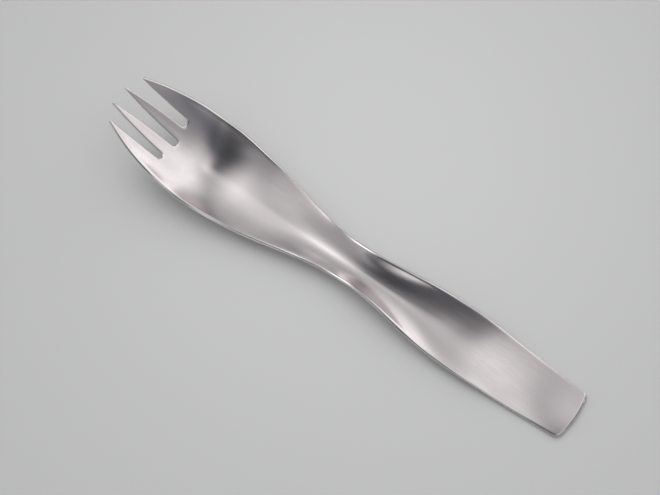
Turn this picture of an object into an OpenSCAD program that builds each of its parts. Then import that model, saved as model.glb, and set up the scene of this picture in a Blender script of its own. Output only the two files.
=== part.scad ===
// Dinner fork pressed from one sheet of stainless steel. Millimetres.
// It lies on its back: the tines point along +X, the hollow side faces +Z and the table is z = 0.
// The origin is under the middle of its length. Sizes are those of the sheet's middle layer.
// A distance marked "from the tips" runs from the points of the inner tines towards the end of the handle.
// A height is that of the long middle line over the two places where the fork touches the table.
// A dish is how far the edges rise over the middle line, and a bow is how far a rib's two ends lie
// nearer to the tips than its middle.

/* [Overall] */
// Length from the points of the inner tines to the end of the handle
fork_length = 180; // [172:1:220]
// Thickness of the sheet
sheet_thickness = 1.2; // [0.8:0.1:2]

/* [Tines] */
// Width of each slot at its round bottom
slot_width = 2.6; // [1.8:0.1:3.4]
// Width of an inner tine beside the slot bottoms
inner_tine_width = 4.4; // [3:0.1:5]
// How far each side of an inner tine swells past a straight line, halfway along
inner_tine_belly = 0.4; // [0:0.1:0.8]
// Width of the blunt point of a tine
tine_point_width = 0.5; // [0.4:0.1:1.6]
// Distance between the points of the two inner tines
inner_points_apart = 6.5; // [5:0.1:8]
// Distance between the points of the two outer tines
outer_points_apart = 18.1; // [15:0.1:22]
// How far the points of the outer tines stay behind those of the inner tines
outer_points_back = 3.3; // [1:0.1:6]
// Distance from the tips to the bottom of the middle slot
middle_slot_end = 22.4; // [19:0.1:28]
// Distance from the tips to the bottom of the outer slots
outer_slot_end = 21.5; // [18:0.1:26]
// Width over the outer tines halfway along them
tines_width = 24.2; // [22:0.1:28]
// Height at the points of the outer tines
points_height = 14.7; // [8:0.1:17]
// Dish at the points of the tines, as it would be at the edges of the head
points_dish = 8.3; // [4:0.1:10]
// Height halfway along the tines
tines_height = 10.7; // [6:0.1:13]
// Dish halfway along the tines, as it would be at the edges of the head
tines_dish = 6; // [3:0.1:8]
// Bow of the ribs across the tines
tines_bow = -2.5; // [-4:0.5:4]

/* [Head] */
// Width at the bottoms of the outer slots
slots_width = 29.1; // [25:0.1:33]
// Height at the bottoms of the outer slots
slots_height = 5; // [2:0.1:7]
// Dish at the bottoms of the outer slots, as it would be at the edges of the head
slots_dish = 6.9; // [2:0.1:8]
// Distance from the tips to the widest place of the head
head_at = 31.5; // [29:0.5:35]
// Width of the head
head_width = 30.9; // [25.5:0.1:37.5]
// Height at the widest place
head_height = 1; // [0.3:0.1:2]
// Dish at the widest place
head_dish = 7.5; // [3:0.1:8.5]
// How far the lips of the head roll outward at the widest place, as a share of its dish
head_roll = 0.15; // [-0.2:0.05:0.6]
// Bow of the rib across the widest place
head_bow = 0; // [-2:0.5:6]
// Distance from the tips to the middle of the bowl
bowl_at = 39; // [37:0.5:43]
// Width at the middle of the bowl
bowl_width = 30.7; // [25:0.1:36]
// Height at the middle of the bowl
bowl_height = 0.05; // [0:0.05:1]
// Dish at the middle of the bowl
bowl_dish = 7.1; // [3:0.1:8.5]
// How far the lips roll outward there, as a share of the dish; below 0 they rise more steeply
bowl_roll = -0.05; // [-0.4:0.05:0.4]
// Bow of the rib across the middle of the bowl
bowl_bow = -1; // [-2:0.5:6]
// Distance from the tips to the rear of the bowl
rear_at = 49.5; // [46:0.5:52]
// Width at the rear of the bowl
rear_width = 28.4; // [23.5:0.1:33]
// Height at the rear of the bowl
rear_height = 0.05; // [0:0.05:1.5]
// Dish at the rear of the bowl
rear_dish = 5.5; // [2:0.1:7]
// Bow of the rib across the rear of the bowl
rear_bow = 0.5; // [-2:0.5:6]

/* [Shoulder] */
// Distance from the tips to the shoulder behind the bowl
shoulder_at = 55.5; // [54:0.5:62]
// Width of the shoulder
shoulder_width = 26.6; // [21.5:0.1:30]
// Height at the shoulder
shoulder_height = 0.1; // [0:0.1:3]
// Dish of the shoulder
shoulder_dish = 4.6; // [1:0.1:6]
// How far the shoulder's lips roll outward, as a share of its dish
shoulder_roll = 0.2; // [0:0.05:0.8]
// Bow of the rib across the shoulder
shoulder_bow = -1; // [-2:0.5:4]
// Distance from the tips to the throat, halfway down to the neck
throat_at = 74.5; // [67:0.5:80]
// Width of the throat
throat_width = 18.6; // [16.5:0.1:22.5]
// Height at the throat
throat_height = 0.3; // [0:0.1:4]
// Dish of the throat
throat_dish = 4.1; // [1:0.1:5]
// How far the throat's lips roll outward, as a share of its dish
throat_roll = 0.7; // [0:0.05:0.8]
// Bow of the rib across the throat
throat_bow = -7; // [-10:0.5:0]

/* [Neck] */
// Distance from the tips to the narrowest place
neck_at = 96; // [90:0.5:98]
// Width of the neck
neck_width = 13.8; // [12:0.1:17]
// Height at the neck
neck_height = 1.3; // [0:0.1:4]
// Dish of the neck
neck_dish = 3.6; // [1:0.1:4.5]
// How far the neck's lips roll outward, as a share of its dish
neck_roll = 0.35; // [0:0.05:0.8]
// Bow of the rib across the neck
neck_bow = 6; // [0:0.5:7]
// Distance from the tips to the steepest walls, where the handle starts
walls_at = 105; // [101:0.5:110]
// Width at the steepest walls
walls_width = 15.2; // [13:0.1:19]
// Height at the steepest walls
walls_height = 1.3; // [0.5:0.1:4]
// Dish at the steepest walls
walls_dish = 4.6; // [1:0.1:5.5]
// Bow of the rib across the steepest walls
walls_bow = 2.5; // [0:0.5:5]

/* [Handle] */
// Distance from the tips to the flare, where the handle widens
flare_at = 122.5; // [115:0.5:127]
// Width of the flare
flare_width = 20.1; // [17:0.1:24]
// Height at the flare
flare_height = 1; // [0.5:0.1:3]
// Dish of the flare
flare_dish = 2.6; // [0.5:0.1:3.5]
// Distance from the widest place of the handle to its end
grip_to_end = 37.5; // [36:0.5:44]
// Width of the handle at its widest place
grip_width = 21.4; // [18:0.1:26.5]
// Height at the widest place
grip_height = 1.1; // [0.5:0.1:3]
// Dish at the widest place
grip_dish = 1; // [0:0.1:2]
// Distance from the ramp, where the handle comes down to the table, to the end
ramp_to_end = 31; // [26:0.5:34]
// Width of the ramp
ramp_width = 20.7; // [17:0.1:24]
// Height at the ramp
ramp_height = 0.6; // [0:0.1:2]
// Dish of the ramp
ramp_dish = 0.6; // [0:0.05:1]
// Distance from the heel, where the handle rests on the table, to the end
heel_to_end = 13.5; // [11:0.5:17]
// Width of the heel
heel_width = 19; // [16:0.1:23]
// Dish of the heel
heel_dish = 0.2; // [0:0.1:2]
// Bow of the ribs across the handle
handle_bow = -4; // [-6:0.5:0]
// Width at the end, before the round corners
end_width = 17.2; // [15:0.1:21]
// Height at the end
end_height = 0.8; // [0:0.1:3]
// Dish at the end, where the edges drop below the middle line
end_dish = -0.4; // [-1.5:0.1:1]
// Radius of the two corners at the end
end_corner = 1.3; // [0.8:0.1:5]
// How far the end bulges past its corners
end_bulge = 0.8; // [0:0.1:2]

/* [Hidden] */

// Number of grid steps across a slot, an outer tine and an inner tine, which all the rows share
slot_steps = 6;
outer_tine_steps = 3;
inner_tine_steps = 2;
// Number of grid steps along the tines, the body and the round corners at the end
tine_rows = 9;
body_rows = 50;
corner_rows = 5;
// Step used to measure the slope of the sheet
slope_step = 0.01;

slot_radius = slot_width / 2;
// The straight sides of a slot end here and its round bottom starts
middle_slot_round = middle_slot_end - slot_radius;
outer_slot_round = outer_slot_end - slot_radius;
// Sides of the slots at their bottoms, measured from the middle line
inner_tine_side = slot_radius + inner_tine_width;
outer_tine_side = inner_tine_side + slot_width;

// Ribs across the sheet, tips first: distance from the tips, half width, height, dish, lip roll and bow,
// and the reach, the half width that the dish is measured over. The tines keep the reach of the head.
AT = 0;
HALF = 1;
HEIGHT = 2;
DISH = 3;
ROLL = 4;
BOW = 5;
REACH = 6;
points_half = (outer_points_apart + tine_point_width) / 2;
head_half = head_width / 2;
sheet_ribs = [
    [outer_points_back, points_half, points_height, points_dish, 0, tines_bow],
    [outer_slot_end / 2, tines_width / 2, tines_height, tines_dish, 0, tines_bow],
    [outer_slot_end, slots_width / 2, slots_height, slots_dish, 0, tines_bow],
    [head_at, head_half, head_height, head_dish, head_roll, head_bow],
    [bowl_at, bowl_width / 2, bowl_height, bowl_dish, bowl_roll, bowl_bow],
    [rear_at, rear_width / 2, rear_height, rear_dish, 0, rear_bow],
    [shoulder_at, shoulder_width / 2, shoulder_height, shoulder_dish, shoulder_roll, shoulder_bow],
    [throat_at, throat_width / 2, throat_height, throat_dish, throat_roll, throat_bow],
    [neck_at, neck_width / 2, neck_height, neck_dish, neck_roll, neck_bow],
    [walls_at, walls_width / 2, walls_height, walls_dish, 0, walls_bow],
    [flare_at, flare_width / 2, flare_height, flare_dish, 0, handle_bow],
    [fork_length - grip_to_end, grip_width / 2, grip_height, grip_dish, 0, handle_bow],
    [fork_length - ramp_to_end, ramp_width / 2, ramp_height, ramp_dish, 0, handle_bow],
    [fork_length - heel_to_end, heel_width / 2, 0, heel_dish, 0, handle_bow],
    [fork_length, end_width / 2, end_height, end_dish, 0, 0]
];
ribs = [for (rib = sheet_ribs) concat(rib, rib[AT] < head_at ? head_half : rib[HALF])];
last_rib = len(ribs) - 1;

// Distance from rib i to the next, and the slope of one quantity between the two
function span(i) = ribs[i + 1][AT] - ribs[i][AT];
function step_slope(i, what) = (ribs[i + 1][what] - ribs[i][what]) / span(i);

// The curve through the ribs bends without a break, so the slope at each rib leans on the next one's.
// At rib i it is the first number less the second times the slope at rib i + 1.
function leaning(i, what) =
    i == 0 ? [1.5 * step_slope(0, what), 0.5] :
    let (
        before = leaning(i - 1, what),
        stiffness = (2 - before[1]) / span(i - 1) + 2 / span(i),
        pull = 3 * (step_slope(i - 1, what) / span(i - 1) + step_slope(i, what) / span(i))
    )
    [(pull - before[0] / span(i - 1)) / stiffness, 1 / (span(i) * stiffness)];

// Slope of one quantity at rib i
function rib_slope(i, what) =
    i == last_rib ?
        let (before = leaning(i - 1, what))
        (3 * step_slope(i - 1, what) - before[0]) / (2 - before[1]) :
    let (here = leaning(i, what))
    here[0] - here[1] * rib_slope(i + 1, what);
slopes = [for (i = [0 : last_rib]) [for (what = [AT : REACH]) rib_slope(i, what)]];

// Last rib at or before distance s, leaving one rib after it
function rib_before(s) = max([0, for (i = [1 : last_rib - 1]) if (ribs[i][AT] <= s) i]);

// One quantity at distance s, on the smooth curve through the ribs and straight on past the first one
function along(s, what) =
    let (
        i = rib_before(s),
        t = (s - ribs[i][AT]) / span(i)
    )
    t < 0 ? ribs[0][what] + slopes[0][what] * (s - ribs[0][AT]) :
    ribs[i][what] * (1 + 2 * t) * (1 - t) ^ 2 + ribs[i + 1][what] * t ^ 2 * (3 - 2 * t)
    + span(i) * (slopes[i][what] * t * (1 - t) ^ 2 + slopes[i + 1][what] * t ^ 2 * (t - 1));

// Height of the sheet's middle layer at distance s and place y across
function sheet_height(s, y) =
    let (
        q = (y / along(s, REACH)) ^ 2,
        rib = s + along(s, BOW) * q,
        roll = along(rib, ROLL)
    )
    along(rib, HEIGHT) + along(rib, DISH) * q * (1 + roll - roll * q);

// Point on the middle layer, in the fork's frame before it is set on the table
function on_sheet(p) = [fork_length / 2 - p[0], p[1], sheet_height(p[0], p[1])];

// Direction square to the sheet, pointing up
function square_to_sheet(p) =
    let (
        here = sheet_height(p[0], p[1]),
        rise_along = (sheet_height(p[0] + slope_step, p[1]) - here) / slope_step,
        rise_across = (sheet_height(p[0], p[1] + slope_step) - here) / slope_step,
        direction = [rise_along, -rise_across, 1]
    )
    direction / norm(direction);

// The root line runs across the fork where the tines start, round the bottoms of the slots.
// Its points are [distance from the tips, place across], and a grid line runs back from each one.
function tine_root(y1, s1, y2, s2, steps) =
    [for (i = [0 : steps - 1]) [s1 + (s2 - s1) * i / steps, y1 + (y2 - y1) * i / steps]];
function slot_root(y1, s1) =
    [for (i = [0 : slot_steps - 1])
        let (turn = 180 * i / slot_steps)
        [s1 + slot_radius * sin(turn), y1 + slot_radius * (1 - cos(turn))]];
root_edge = along(outer_slot_round, HALF);
root_line = concat(
    tine_root(-root_edge, outer_slot_round, -outer_tine_side, outer_slot_round, outer_tine_steps),
    slot_root(-outer_tine_side, outer_slot_round),
    tine_root(-inner_tine_side, outer_slot_round, -slot_radius, middle_slot_round, inner_tine_steps),
    slot_root(-slot_radius, middle_slot_round),
    tine_root(slot_radius, middle_slot_round, inner_tine_side, outer_slot_round, inner_tine_steps),
    slot_root(inner_tine_side, outer_slot_round),
    tine_root(outer_tine_side, outer_slot_round, root_edge, outer_slot_round, outer_tine_steps),
    [[outer_slot_round, root_edge]]
);
columns = len(root_line);

// Share of the way from the root line to the end, row by row, with close rows around the end's corners
corner_share = end_corner / (fork_length - outer_slot_round);
row_share = concat(
    [for (j = [0 : body_rows]) (1 - corner_share) * j / body_rows],
    [for (j = [1 : corner_rows]) 1 - corner_share * (1 - sin(90 * j / corner_rows))]
);
rows = len(row_share);

// How much the round corners take off the half width, at distance d before the end
function corner_cut(d) = d >= end_corner ? 0 : end_corner - sqrt(end_corner ^ 2 - (end_corner - d) ^ 2);

// Places on the body, row by row from the root line to the end
body_places = [
    for (share = row_share, root = root_line)
        let (
            across = root[1] / along(root[0], HALF),
            finish = fork_length - end_bulge * across ^ 2,
            s = root[0] + (finish - root[0]) * share
        )
        [s, across * (along(s, HALF) - corner_cut(finish - s))]
];

// Each tine: its first grid line, its steps across, its point, and the side (-1 or 1) on which it
// follows the outline of the fork, or 0 for an inner tine
inner_point = inner_points_apart / 2;
outer_point = outer_points_apart / 2;
left_inner = outer_tine_steps + slot_steps;
right_inner = left_inner + inner_tine_steps + slot_steps;
right_outer = right_inner + inner_tine_steps + slot_steps;
LINE = 0;
STEPS = 1;
POINT = 2;
SIDE = 3;
tines = [
    [0, outer_tine_steps, [outer_points_back, -outer_point], -1],
    [left_inner, inner_tine_steps, [0, -inner_point], 0],
    [right_inner, inner_tine_steps, [0, inner_point], 0],
    [right_outer, outer_tine_steps, [outer_points_back, outer_point], 1]
];
last_tine = len(tines) - 1;

// Place across of one side of a tine: on the outline, or from the root line to the point, swollen by a belly
function tine_side(s, root, point, on_outline, belly) =
    let (way = (s - root[0]) / (point[0] - root[0]))
    on_outline ? sign(point[1]) * along(s, HALF) :
    root[1] + (point[1] - root[1]) * way + 4 * belly * way * (1 - way);

// Places on one tine, row by row from the root line to its point
function tine_places(tine) =
    let (
        steps = tine[STEPS],
        half_point = [0, tine_point_width / 2],
        belly = tine[SIDE] == 0 ? inner_tine_belly : 0,
        low_root = root_line[tine[LINE]],
        high_root = root_line[tine[LINE] + steps]
    )
    [
        for (j = [1 : tine_rows], i = [0 : steps])
            let (
                root = root_line[tine[LINE] + i],
                s = root[0] + (tine[POINT][0] - root[0]) * j / tine_rows,
                low = tine_side(s, low_root, tine[POINT] - half_point, tine[SIDE] < 0, -belly),
                high = tine_side(s, high_root, tine[POINT] + half_point, tine[SIDE] > 0, belly)
            )
            [s, low + (high - low) * i / steps]
    ];

// All the places on the sheet, the body's first and then tine by tine
places = concat(body_places, [for (tine = tines) each tine_places(tine)]);
count = len(places);

// Points of the upper and the lower side, half a thickness off the middle layer, set on the table
half_sheet = [for (p = places) square_to_sheet(p) * sheet_thickness / 2];
loose_points = concat(
    [for (i = [0 : count - 1]) on_sheet(places[i]) + half_sheet[i]],
    [for (i = [0 : count - 1]) on_sheet(places[i]) - half_sheet[i]]
);
table_height = min([for (p = loose_points) p[2]]);
sheet_points = [for (p = loose_points) p - [0, 0, table_height]];

// Number of a place on the body, and of one on tine k, whose row 0 is the root line
function on_body(j, i) = j * columns + i;
function tine_start(k) = k == 0 ? rows * columns : tine_start(k - 1) + tine_rows * (tines[k - 1][STEPS] + 1);
function on_tine(k, j, i) =
    j == 0 ? on_body(0, tines[k][LINE] + i) : tine_start(k) + (j - 1) * (tines[k][STEPS] + 1) + i;

// Two triangles between four places that run anticlockwise, seen from outside
function pair(a, b, c, d) = [[a, c, b], [a, d, c]];

upper_faces = concat(
    [for (j = [0 : rows - 2], i = [0 : columns - 2])
        each pair(on_body(j, i), on_body(j, i + 1), on_body(j + 1, i + 1), on_body(j + 1, i))],
    [for (k = [0 : last_tine], j = [0 : tine_rows - 1], i = [0 : tines[k][STEPS] - 1])
        each pair(on_tine(k, j, i), on_tine(k, j + 1, i), on_tine(k, j + 1, i + 1), on_tine(k, j, i + 1))]
);
lower_faces = [for (f = upper_faces) [f[0] + count, f[2] + count, f[1] + count]];

// Outline of the sheet as one closed loop of places: round each tine and each slot bottom,
// back along one edge of the body, across the end and forward along the other edge
function round_tine(k) = concat(
    [for (j = [0 : tine_rows]) on_tine(k, j, 0)],
    [for (i = [1 : tines[k][STEPS]]) on_tine(k, tine_rows, i)],
    [for (j = [tine_rows - 1 : -1 : 0]) on_tine(k, j, tines[k][STEPS])]
);
function slot_after(k) =
    k == last_tine ? [] :
    [for (i = [tines[k][LINE] + tines[k][STEPS] + 1 : tines[k + 1][LINE] - 1]) on_body(0, i)];
outline = concat(
    [for (k = [0 : last_tine]) each concat(round_tine(k), slot_after(k))],
    [for (j = [1 : rows - 1]) on_body(j, columns - 1)],
    [for (i = [columns - 2 : -1 : 0]) on_body(rows - 1, i)],
    [for (j = [rows - 2 : -1 : 1]) on_body(j, 0)]
);
edge_faces = [
    for (n = [0 : len(outline) - 1])
        let (a = outline[n], b = outline[(n + 1) % len(outline)])
        each pair(a, a + count, b + count, b)
];

// The whole fork, one sheet of steel
module fork() {
    color("gainsboro")
        polyhedron(points = sheet_points, faces = concat(upper_faces, lower_faces, edge_faces));
}

fork();
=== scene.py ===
"""A dinner fork pressed from one sheet of satin stainless steel, lying on a pale table."""

import functools
import math

import bpy
from mathutils import Matrix, Vector


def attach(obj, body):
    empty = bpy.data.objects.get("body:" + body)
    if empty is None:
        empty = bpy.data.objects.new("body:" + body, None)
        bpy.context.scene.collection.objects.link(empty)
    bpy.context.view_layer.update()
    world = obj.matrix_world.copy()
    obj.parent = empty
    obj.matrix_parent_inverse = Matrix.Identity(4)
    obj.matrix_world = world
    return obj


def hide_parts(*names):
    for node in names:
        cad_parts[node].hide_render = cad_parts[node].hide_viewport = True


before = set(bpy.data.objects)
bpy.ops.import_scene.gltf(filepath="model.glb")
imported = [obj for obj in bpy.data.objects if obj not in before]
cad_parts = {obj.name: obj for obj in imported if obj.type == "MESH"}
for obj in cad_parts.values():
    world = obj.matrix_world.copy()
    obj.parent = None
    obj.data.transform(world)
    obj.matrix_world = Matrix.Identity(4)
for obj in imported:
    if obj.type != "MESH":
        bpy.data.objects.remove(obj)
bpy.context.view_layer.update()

# One millimetre in the scene's metres. All sizes of the fork are in millimetres.
MM = 0.001

# Sizes of the fork, as the CAD model has them
FORK_LENGTH = 180
SHEET_THICKNESS = 1.2
SLOT_WIDTH = 2.6
INNER_TINE_WIDTH = 4.4
INNER_TINE_BELLY = 0.4
TINE_POINT_WIDTH = 0.5
INNER_POINTS_APART = 6.5
OUTER_POINTS_APART = 18.1
OUTER_POINTS_BACK = 3.3
MIDDLE_SLOT_END = 22.4
OUTER_SLOT_END = 21.5
END_CORNER = 1.3
END_BULGE = 0.8

# Radius to which the edges of the sheet are rounded
EDGE_RADIUS = 0.4

# Ribs across the sheet, tips first, each with its distance from the tips, half width, height over the table,
# dish (the rise of its ends), outward roll of its lips and bow (how far its ends lie nearer to the tips)
AT, HALF, HEIGHT, DISH, ROLL, BOW, REACH = range(7)
SHEET_RIBS = {
    "points": (OUTER_POINTS_BACK, (OUTER_POINTS_APART + TINE_POINT_WIDTH) / 2, 14.7, 8.3, 0, -2.5),
    "tines": (OUTER_SLOT_END / 2, 12.1, 10.7, 6, 0, -2.5),
    "slots": (OUTER_SLOT_END, 14.55, 5, 6.9, 0, -2.5),
    "head": (31.5, 15.45, 1, 7.5, 0.15, 0),
    "bowl": (39, 15.35, 0.05, 7.1, -0.05, -1),
    "rear": (49.5, 14.2, 0.05, 5.5, 0, 0.5),
    "shoulder": (55.5, 13.3, 0.1, 4.6, 0.2, -1),
    "throat": (74.5, 9.3, 0.3, 4.1, 0.7, -7),
    "neck": (96, 6.9, 1.3, 3.6, 0.35, 6),
    "walls": (105, 7.6, 1.3, 4.6, 0, 2.5),
    "flare": (122.5, 10.05, 1, 2.6, 0, -4),
    "grip": (142.5, 10.7, 1.1, 1, 0, -4),
    "ramp": (149, 10.35, 0.6, 0.6, 0, -4),
    "heel": (166.5, 9.5, 0, 0.2, 0, -4),
    "end": (FORK_LENGTH, 8.6, 0.8, -0.4, 0, 0),
}
# The dish is measured over a rib's reach, which is its half width, or that of the head for the tines
HEAD_AT, HEAD_HALF = SHEET_RIBS["head"][:2]
RIBS = [(*rib, HEAD_HALF if rib[AT] < HEAD_AT else rib[HALF]) for rib in SHEET_RIBS.values()]

# Steps of the mesh: over a rounded edge, between the edges of an outer and an inner tine, round a slot,
# along a tine and its tip, and along the body and the corners at its end
EDGE_STEPS = 4
OUTER_TINE_STEPS = 8
INNER_TINE_STEPS = 4
SLOT_STEPS = 20
TINE_ROWS = 36
TIP_ROWS = 8
BODY_ROWS = 200
CORNER_ROWS = 9
# Largest share of a tine's width that one rounded edge takes up
EDGE_SHARE = 0.3
# Length of the tine's tip over which the rows close up
TIP_ZONE = 1.0
# Points nearer than this are the same point, in metres
SAME_PLACE = 1e-6


class Wire:
    """A socket in a node tree. Sums on wires are written as Python expressions."""

    def __init__(self, tree, socket=None):
        self.tree = tree
        self.socket = socket

    def node(self, kind, settings=None, inputs=None, output=0):
        """Adds a node of this kind, its settings first, and returns a wire from one of its outputs."""
        new = self.tree.nodes.new(kind)
        for name, value in (settings or {}).items():
            setattr(new, name, value)
        for name, value in (inputs or {}).items():
            for one in value if isinstance(value, list) else [value]:
                if isinstance(one, Wire):
                    self.tree.links.new(one.socket, new.inputs[name])
                else:
                    new.inputs[name].default_value = one
        return Wire(self.tree, new.outputs[output]) if new.outputs else None

    def beside(self, output):
        """Another output of the same node."""
        return Wire(self.tree, self.socket.node.outputs[output])

    def math(self, operation, *others):
        return self.node("ShaderNodeMath", {"operation": operation}, dict(enumerate((self, *others))))

    def __add__(self, other):
        return self.math("ADD", other)

    def __mul__(self, other):
        return self.math("MULTIPLY", other)

    def __sub__(self, other):
        return self.math("SUBTRACT", other)

    def __rsub__(self, other):
        return self.math("MULTIPLY_ADD", -1, other)

    def __truediv__(self, other):
        return self.math("DIVIDE", other)

    __radd__ = __add__
    __rmul__ = __mul__


def share(s, low, high):
    """How far s is on the way from low to high, from 0 to 1. It may be a number or a wire."""
    if isinstance(s, Wire):
        return s.node("ShaderNodeMapRange", None, {"Value": s, "From Min": low, "From Max": high})
    return min(max((s - low) / (high - low), 0), 1)


def least(s, limit):
    return s.math("MINIMUM", limit) if isinstance(s, Wire) else min(s, limit)


@functools.cache
def rib_slopes(what):
    """Slopes of one quantity at all the ribs, on the curve through them that bends without a break."""
    spans = [after[AT] - rib[AT] for rib, after in zip(RIBS, RIBS[1:])]
    rises = [(after[what] - rib[what]) / span for rib, after, span in zip(RIBS, RIBS[1:], spans)]
    # Each slope leans on the next one: it is a less b times the slope at the next rib
    leaning = [(1.5 * rises[0], 0.5)]
    for span, next_span, rise, next_rise in zip(spans, spans[1:], rises, rises[1:]):
        a, b = leaning[-1]
        stiffness = (2 - b) / span + 2 / next_span
        pull = 3 * (rise / span + next_rise / next_span)
        leaning.append(((pull - a / span) / stiffness, 1 / (next_span * stiffness)))
    a, b = leaning[-1]
    slopes = [(3 * rises[-1] - a) / (2 - b)]
    for a, b in reversed(leaning):
        slopes.insert(0, a - b * slopes[0])
    return slopes


def along(s, what):
    """One quantity at distance s from the tips, a number or a wire, on a smooth curve through the ribs."""
    first = RIBS[0]
    slopes = rib_slopes(what)
    value = first[what] + (least(s, first[AT]) - first[AT]) * slopes[0]
    for i, (rib, after) in enumerate(zip(RIBS, RIBS[1:])):
        span = after[AT] - rib[AT]
        rise = after[what] - rib[what]
        start = slopes[i] * span
        end = slopes[i + 1] * span
        if any((rise, start, end)):
            t = share(s, rib[AT], after[AT])
            value = value + t * (start + t * (3 * rise - 2 * start - end + t * (start + end - 2 * rise)))
    return value


def rounding(length, steps):
    """Distances from an edge, close together at the edge itself, out to the given length."""
    return [length * (1 - math.cos(math.pi / 2 * k / steps)) for k in range(steps + 1)]


def across_tine(width, steps):
    """Places of the grid lines across a tine, from its low side to its high side."""
    edge = rounding(min(EDGE_RADIUS, EDGE_SHARE * width), EDGE_STEPS)
    middle = [edge[-1] + (width - 2 * edge[-1]) * k / steps for k in range(1, steps)]
    return edge + middle + [width - place for place in reversed(edge)]


def flat_blank():
    """The sheet as it is cut: its points (distance from the tips, place across) and its faces."""
    slot_radius = SLOT_WIDTH / 2
    middle_round = MIDDLE_SLOT_END - slot_radius
    outer_round = OUTER_SLOT_END - slot_radius
    inner_side = slot_radius + INNER_TINE_WIDTH
    outer_side = inner_side + SLOT_WIDTH
    root_edge = along(outer_round, HALF)
    inner_point = INNER_POINTS_APART / 2
    outer_point = OUTER_POINTS_APART / 2
    tip_radius = TINE_POINT_WIDTH / 2

    # The root line runs across the fork where the tines start, round the bottoms of the slots
    root = []
    tines = []

    def add_tine(low, low_s, high, high_s, steps, point, on_outline):
        tines.append((len(root), steps, point, on_outline))
        width = high - low
        root.extend((low_s + (high_s - low_s) * d / width, low + d) for d in across_tine(width, steps))

    def add_slot(low, start):
        for k in range(1, SLOT_STEPS):
            turn = math.pi * k / SLOT_STEPS
            root.append((start + slot_radius * math.sin(turn), low + slot_radius * (1 - math.cos(turn))))

    add_tine(-root_edge, outer_round, -outer_side, outer_round, OUTER_TINE_STEPS,
             (OUTER_POINTS_BACK, -outer_point), -1)
    add_slot(-outer_side, outer_round)
    add_tine(-inner_side, outer_round, -slot_radius, middle_round, INNER_TINE_STEPS, (0, -inner_point), 0)
    add_slot(-slot_radius, middle_round)
    add_tine(slot_radius, middle_round, inner_side, outer_round, INNER_TINE_STEPS, (0, inner_point), 0)
    add_slot(inner_side, outer_round)
    add_tine(outer_side, outer_round, root_edge, outer_round, OUTER_TINE_STEPS,
             (OUTER_POINTS_BACK, outer_point), 1)
    columns = len(root)

    # The body runs from the root line to the end, with close rows at both
    body_length = FORK_LENGTH - outer_round
    plain = body_length - EDGE_RADIUS - END_CORNER
    row_places = rounding(EDGE_RADIUS, EDGE_STEPS)
    row_places += [EDGE_RADIUS + plain * k / BODY_ROWS for k in range(1, BODY_ROWS + 1)]
    row_places += [body_length - d for d in reversed(rounding(END_CORNER, CORNER_ROWS)[:-1])]
    points = []
    for row in row_places:
        for root_s, root_y in root:
            across = root_y / along(root_s, HALF)
            finish = FORK_LENGTH - END_BULGE * across**2
            s = root_s + (finish - root_s) * row / body_length
            into_corner = max(END_CORNER - (finish - s), 0)
            cut = END_CORNER - math.sqrt(END_CORNER**2 - min(into_corner, END_CORNER) ** 2)
            points.append((s, across * (along(s, HALF) - cut)))
    faces = [
        (j * columns + i, j * columns + i + 1, (j + 1) * columns + i + 1, (j + 1) * columns + i)
        for j in range(len(row_places) - 1)
        for i in range(columns - 1)
    ]

    # Each tine runs from the root line to its round tip
    def side_at(s, corner, tip, follows, belly):
        if follows:
            return math.copysign(along(s, HALF), tip[1])
        way = (s - corner[0]) / (tip[0] - corner[0])
        return corner[1] + (tip[1] - corner[1]) * way + 4 * belly * way * (1 - way)

    for first, steps, point, on_outline in tines:
        lines = 2 * EDGE_STEPS + steps + 1
        belly = 0 if on_outline else INNER_TINE_BELLY
        low_root, high_root = root[first], root[first + lines - 1]
        length = low_root[0] - point[0]
        tine_rows = [(length - TIP_ZONE) * k / TINE_ROWS for k in range(1, TINE_ROWS + 1)]
        tine_rows += [length - d for d in reversed(rounding(TIP_ZONE, TIP_ROWS)[:-1])]
        tip_lines = across_tine(TINE_POINT_WIDTH, steps)
        before = list(range(first, first + lines))
        for row in tine_rows:
            here = []
            for i in range(lines):
                root_s = root[first + i][0]
                off_middle = tip_lines[i] - tip_radius
                tip_s = point[0] + tip_radius - math.sqrt(max(tip_radius**2 - off_middle**2, 0))
                s = root_s + (tip_s - root_s) * row / length
                low = side_at(s, low_root, (point[0], point[1] - tip_radius), on_outline < 0, -belly)
                high = side_at(s, high_root, (point[0], point[1] + tip_radius), on_outline > 0, belly)
                here.append(len(points))
                points.append((s, low + across_tine(high - low, steps)[i]))
            faces += [(before[i], here[i], here[i + 1], before[i + 1]) for i in range(lines - 1)]
            before = here
    return points, faces


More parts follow.
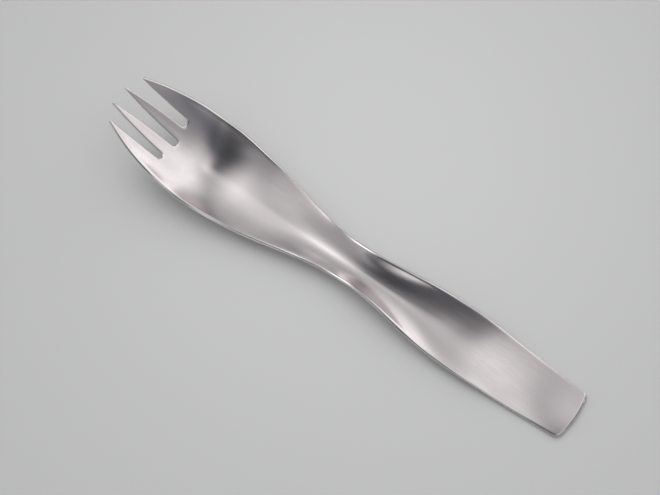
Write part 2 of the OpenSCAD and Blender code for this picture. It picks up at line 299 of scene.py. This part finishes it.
def press_tree():
    """Geometry nodes that press the flat blank to the ribs, thicken it and round its edges."""
    tree = bpy.data.node_groups.new("press", "GeometryNodeTree")
    for name, kind in (
        ("Blank", "NodeSocketGeometry"),
        ("Thickness", "NodeSocketFloat"),
        ("Edge radius", "NodeSocketFloat"),
        ("Steel", "NodeSocketMaterial"),
    ):
        tree.interface.new_socket(name, in_out="INPUT", socket_type=kind)
    tree.interface.new_socket("Fork", in_out="OUTPUT", socket_type="NodeSocketGeometry")
    blank = Wire(tree).node("NodeGroupInput", output="Blank")
    thickness = blank.beside("Thickness")
    radius = blank.beside("Edge radius")

    # Distance of each point from the outline, measured on the flat blank
    outline = blank.node("GeometryNodeInputMeshEdgeNeighbors").math("LESS_THAN", 2)
    rim = blank.node(
        "GeometryNodeSeparateGeometry", {"domain": "EDGE"}, {"Geometry": blank, "Selection": outline}
    )
    to_rim = blank.node("GeometryNodeProximity", {"target_element": "EDGES"}, {"Geometry": rim}, "Distance")
    marked = blank.node(
        "GeometryNodeStoreNamedAttribute",
        {"data_type": "FLOAT", "domain": "POINT"},
        {"Geometry": blank, "Name": "edge_distance", "Value": to_rim / MM},
    )

    # Height of the sheet's middle layer
    x = blank.node("ShaderNodeSeparateXYZ", None, {"Vector": blank.node("GeometryNodeInputPosition")}, "X")
    s = FORK_LENGTH / 2 - x / MM
    y = x.beside("Y") / MM
    reach = y / along(s, REACH)
    q = reach * reach
    rib = s + along(s, BOW) * q
    roll = along(rib, ROLL)
    height = along(rib, HEIGHT) + along(rib, DISH) * q * (1 + roll - roll * q)
    lift = blank.node("ShaderNodeCombineXYZ", None, {"Z": height * MM})
    pressed = blank.node("GeometryNodeSetPosition", None, {"Geometry": marked, "Offset": lift})

    # Half of the thickness, square to the sheet, less where an edge is rounded
    into_rim = blank.node(
        "GeometryNodeInputNamedAttribute", {"data_type": "FLOAT"}, {"Name": "edge_distance"}
    ).math("MINIMUM", radius)
    half = thickness / 2 - radius + (into_rim * (2 * radius - into_rim)).math("SQRT")

    def scaled(vector, factor):
        return blank.node("ShaderNodeVectorMath", {"operation": "SCALE"}, {0: vector, "Scale": factor})

    thick = blank.node(
        "GeometryNodeStoreNamedAttribute",
        {"data_type": "FLOAT_VECTOR", "domain": "POINT"},
        {
            "Geometry": pressed,
            "Name": "half_sheet",
            "Value": scaled(blank.node("GeometryNodeInputNormal"), half * MM),
        },
    )
    half_sheet = blank.node(
        "GeometryNodeInputNamedAttribute", {"data_type": "FLOAT_VECTOR"}, {"Name": "half_sheet"}
    )

    # The lower side, and the upper side with the rim, raised from a copy of it
    lower = blank.node("GeometryNodeSetPosition", None, {"Geometry": thick, "Offset": scaled(half_sheet, -1)})
    raised = blank.node(
        "GeometryNodeExtrudeMesh", None, {"Mesh": lower, "Offset Scale": 0, "Individual": False}
    )
    upper = blank.node(
        "GeometryNodeSetPosition",
        None,
        {"Geometry": raised, "Selection": raised.beside("Top"), "Offset": scaled(half_sheet, 2)},
    )
    both = blank.node(
        "GeometryNodeJoinGeometry",
        None,
        {"Geometry": [blank.node("GeometryNodeFlipFaces", None, {"Mesh": lower}), upper]},
    )
    closed = blank.node("GeometryNodeMergeByDistance", None, {"Geometry": both, "Distance": SAME_PLACE})
    clean = blank.node("GeometryNodeRemoveAttribute", None, {"Geometry": closed, "Name": "half_sheet"})
    smooth = blank.node("GeometryNodeSetShadeSmooth", None, {"Geometry": clean})
    whole = blank.node("GeometryNodeRealizeInstances", None, {"Geometry": smooth})
    fork = blank.node(
        "GeometryNodeSetMaterial", None, {"Geometry": whole, "Material": blank.beside("Steel")}
    )
    blank.node("NodeGroupOutput", None, {"Fork": fork})
    return tree


def press_fork(material):
    """The fork as one closed mesh, set on the table."""
    points, faces = flat_blank()
    mesh = bpy.data.meshes.new("blank")
    mesh.from_pydata([((FORK_LENGTH / 2 - s) * MM, y * MM, 0) for s, y in points], [], faces)
    blank = bpy.data.objects.new("blank", mesh)
    bpy.context.scene.collection.objects.link(blank)
    press = blank.modifiers.new("press", "NODES")
    press.node_group = press_tree()
    sizes = {"Thickness": SHEET_THICKNESS, "Edge radius": EDGE_RADIUS, "Steel": material}
    for socket in press.node_group.interface.items_tree:
        if socket.name in sizes:
            press[socket.identifier] = sizes[socket.name]
    pressed = bpy.data.meshes.new_from_object(blank.evaluated_get(bpy.context.evaluated_depsgraph_get()))
    pressed.name = "pressed_fork"
    bpy.data.objects.remove(blank)
    pressed.transform(Matrix.Translation((0, 0, -min(v.co.z for v in pressed.vertices))))
    fork = bpy.data.objects.new("pressed_fork", pressed)
    bpy.context.scene.collection.objects.link(fork)
    return fork


# Colour of the steel where it is clean and where it is smeared, and how rough it is
CLEAN_STEEL = (0.65, 0.608, 0.612, 1)
SMEARED_STEEL = (0.61, 0.57, 0.572, 1)
ROUGHNESS = 0.2
# Brushing: the length, spacing, fineness and depth of its lines, what they add to the roughness, and their
# share in the change of colour
BRUSH_LENGTH = 22
BRUSH_SPACING = 0.4
BRUSH_DETAIL = 2
BRUSH_DEPTH = 0.004
BRUSH_ROUGHNESS = 0.08
BRUSH_TONE = 0.5
# Smears: their size and fineness, what they add to the roughness, and how far they go from clean to smeared
SMEAR_SIZE = 11
SMEAR_DETAIL = 3
SMEAR_ROUGHNESS = 0.06
SMEAR_RANGE = 0.2
# Width of the rim that is worn smooth, its colour, painted lighter than the steel as a highlight along the
# edges, and its roughness
RIM_WIDTH = 0.5
RIM_HIGHLIGHT_STEEL = (0.7, 0.67, 0.665, 1)
RIM_ROUGHNESS = 0.15


def satin_steel():
    """Stainless steel, finely brushed along its length, faintly smeared, worn smooth at its rim and painted
    lighter there as a highlight.
    """
    material = bpy.data.materials.new("satin_steel")
    material.use_nodes = True
    tree = material.node_tree
    tree.nodes.clear()
    place = Wire(tree).node("ShaderNodeTexCoord", output="Object")

    def mottle(length, width, detail):
        """Noise about 0, with patches of this length along the fork and this width across it."""
        size = (1 / (length * MM), 1 / (width * MM), 1 / (width * MM))
        spot = place.node("ShaderNodeVectorMath", {"operation": "MULTIPLY"}, {0: place, 1: size})
        noise = place.node(
            "ShaderNodeTexNoise", None, {"Vector": spot, "Scale": 1, "Detail": detail}, "Fac"
        )
        return noise - 0.5

    lines = mottle(BRUSH_LENGTH, BRUSH_SPACING, BRUSH_DETAIL)
    smears = mottle(SMEAR_SIZE, SMEAR_SIZE, SMEAR_DETAIL)
    edge_distance = place.node("ShaderNodeAttribute", {"attribute_name": "edge_distance"}, output="Fac")
    inside = share(edge_distance, 0, RIM_WIDTH)
    rough = ROUGHNESS + BRUSH_ROUGHNESS * lines + SMEAR_ROUGHNESS * smears

    def blend(amount, first, second):
        return place.node("ShaderNodeMix", {"data_type": "RGBA"}, {"Factor": amount, 6: first, 7: second}, 2)

    smeared = share(smears + BRUSH_TONE * lines, -SMEAR_RANGE, SMEAR_RANGE)
    colour = blend(smeared, CLEAN_STEEL, SMEARED_STEEL)
    grooves = place.node(
        "ShaderNodeBump", None, {"Height": lines, "Strength": 1, "Distance": BRUSH_DEPTH * MM}
    )
    steel = place.node(
        "ShaderNodeBsdfPrincipled",
        None,
        {
            # The rim's lighter colour is a painted highlight; its lower roughness is the real polish
            "Base Color": blend(inside, RIM_HIGHLIGHT_STEEL, colour),
            "Metallic": 1,
            "Roughness": RIM_ROUGHNESS + inside * (rough - RIM_ROUGHNESS),
            "Normal": grooves,
        },
    )
    place.node("ShaderNodeOutputMaterial", None, {"Surface": steel})
    return material


fork = press_fork(satin_steel())
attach(fork, "root")
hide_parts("fork")


# Half the side of the table, in metres, and how rough it is
TABLE_HALF = 3
TABLE_ROUGHNESS = 0.7
# Tone of the table, with a pool of light painted into it: its tone at the brightest place, the share of it
# that is lost far away as painted shade, that place, and the distance from it at which half of the loss has
# come
TABLE_TONE = 0.68
PAINTED_LIGHT_LOSS = 0.3
PAINTED_POOL_MIDDLE = (14, -34, 0)
PAINTED_POOL_FADE = 135


def table_with_painted_light_pool():
    """A plain matt table with a painted pool of light: its tone falls off softly to all sides as painted
    shade.
    """
    material = bpy.data.materials.new("table_with_painted_light_pool")
    material.use_nodes = True
    tree = material.node_tree
    tree.nodes.clear()
    place = Wire(tree).node("ShaderNodeTexCoord", output="Object")
    brightest = tuple(c * MM for c in PAINTED_POOL_MIDDLE)
    away = place.node("ShaderNodeVectorMath", {"operation": "SUBTRACT"}, {0: place, 1: brightest})
    distance = place.node("ShaderNodeVectorMath", {"operation": "LENGTH"}, {0: away}, "Value")
    fades = distance / (PAINTED_POOL_FADE * MM)
    faded = fades * fades
    # Painted pool of light: the table's colour darkens away from its brightest place
    painted_light_tone = TABLE_TONE - TABLE_TONE * PAINTED_LIGHT_LOSS * (faded / (1 + faded))
    colour = place.node("ShaderNodeCombineColor", None, {"Red": painted_light_tone, "Green": painted_light_tone, "Blue": painted_light_tone})
    matt = place.node("ShaderNodeBsdfPrincipled", None, {"Base Color": colour, "Roughness": TABLE_ROUGHNESS})
    place.node("ShaderNodeOutputMaterial", None, {"Surface": matt})
    return material


def table_top():
    corners = [(-1, -1), (1, -1), (1, 1), (-1, 1)]
    mesh = bpy.data.meshes.new("table")
    mesh.from_pydata([(x * TABLE_HALF, y * TABLE_HALF, 0) for x, y in corners], [], [(0, 1, 2, 3)])
    mesh.materials.append(table_with_painted_light_pool())
    table = bpy.data.objects.new("table", mesh)
    bpy.context.scene.collection.objects.link(table)


table_top()

# The camera's turn about the fork and its rise over the table, both in degrees, and its distance
VIEW_TURN = 144.85
VIEW_RISE = 74
VIEW_DISTANCE = 700
# Millimetres that one pixel covers at the origin, and the pixel where the origin shows
PIXEL = 0.3271
IMAGE_SIZE = (660, 495)
ORIGIN_PIXEL = (344.3, 262.6)
SENSOR = 36


def view_axes():
    turn, rise = math.radians(VIEW_TURN), math.radians(VIEW_RISE)
    right = Vector((math.cos(turn), -math.sin(turn), 0))
    back = Vector((-math.sin(turn) * math.cos(rise), -math.cos(turn) * math.cos(rise), math.sin(rise)))
    return right, back.cross(right), back


def add_camera():
    right, up, back = view_axes()
    aside = (IMAGE_SIZE[0] / 2 - ORIGIN_PIXEL[0]) * PIXEL * right
    aloft = (ORIGIN_PIXEL[1] - IMAGE_SIZE[1] / 2) * PIXEL * up
    camera = bpy.data.cameras.new("camera")
    camera.sensor_width = SENSOR
    camera.lens = SENSOR * VIEW_DISTANCE / (IMAGE_SIZE[0] * PIXEL)
    seen = bpy.data.objects.new("camera", camera)
    seen.matrix_world = Matrix((right, up, back)).transposed().to_4x4()
    seen.location = (aside + aloft + VIEW_DISTANCE * back) * MM
    bpy.context.scene.collection.objects.link(seen)
    bpy.context.scene.camera = seen


add_camera()

# Light of the pale room all around, the least that any place in it gives, and the plain tone of what the
# camera sees of it
ROOM_LIGHT = 0.6
DIMMEST = 0.05
BACKDROP = 0.45
# Tint of the darkest places, which is gone at the room's own light
DARK_TINT = (0.91, 0.97, 1.09, 1)
NO_TINT = (1, 1, 1, 1)
# Soft oval lights and dark places in the room. Each has the tilt of its middle from straight up, towards the
# right and towards the top of the picture, its two half widths and its turn, all in degrees, and how much
# brighter or darker than the room it is.
STUDIO = {
    "dark overhead": (-8, -9, 10.5, 35, -34, -2.3),
    "strip light": (-15, 28, 10, 31, -23, 2.1),
    "back soft box": (36, 76, 63, 12, 8, 1.9),
    "low card": (-37, -65, 8, 7, 40, 2.1),
    "dark edge": (41, 80, 7, 41, 87, -2.5),
    "top light": (6, 14, 8, 9, -40, 0.7),
    "dark front": (-39, -61, 9, 7, -15, -1.3),
    "overhead glow": (-1, -6, 7, 18, -31, 1.5),
    "side glow": (81, 59, 62, 21, 11, 1.3),
    "dark gap": (10, 69, 7, 39, -27, -2.2),
    "dark near side": (20, -43, 61, 10, 60, -0.3),
    "back glow": (-8, 38, 15, 14, 0, 1.1),
    "dark right": (75, -12, 11, 31, 0, -1.3),
}


# Keeps the sum for a light safe straight opposite to it
HAIR = 0.001


def oval_axes(to_right, to_top, turn):
    """The two axes of an oval light, and the direction of its middle."""
    right, _, back = view_axes()
    top = Vector((0, 0, 1)).cross(right)
    tilt = math.radians(math.hypot(to_right, to_top))
    aside = (to_right * right + to_top * top).normalized()
    middle = math.sin(tilt) * aside + Vector((0, 0, math.cos(tilt)))
    across = top.cross(middle).normalized()
    turned = Matrix.Rotation(math.radians(turn), 3, middle)
    return turned @ across, turned @ middle.cross(across), middle


def light_studio():
    world = bpy.data.worlds.new("studio")
    bpy.context.scene.world = world
    world.use_nodes = True
    tree = world.node_tree
    tree.nodes.clear()
    start = Wire(tree)
    direction = start.node("ShaderNodeTexCoord", output="Generated")
    light = ROOM_LIGHT
    for to_right, to_top, width, height, turn, level in STUDIO.values():
        u, v, w = (
            start.node("ShaderNodeVectorMath", {"operation": "DOT_PRODUCT"}, {0: direction, 1: axis}, "Value")
            for axis in oval_axes(to_right, to_top, turn)
        )
        away = u * u / -(math.radians(width) ** 2) - v * v / math.radians(height) ** 2
        light = light + level * (away / (w + (1 + HAIR))).math("EXPONENT")
    light = light.math("MAXIMUM", DIMMEST)
    seen = start.node("ShaderNodeLightPath", output="Is Camera Ray")
    shown = light + seen * (BACKDROP - light)
    clear = share(shown, DIMMEST, ROOM_LIGHT).math("MAXIMUM", seen)
    tint = start.node("ShaderNodeMix", {"data_type": "RGBA"}, {"Factor": clear, 6: DARK_TINT, 7: NO_TINT}, 2)
    background = start.node("ShaderNodeBackground", None, {"Color": tint, "Strength": shown})
    start.node("ShaderNodeOutputWorld", None, {"Surface": background})


light_studio()
bpy.context.scene.view_settings.view_transform = "Standard"
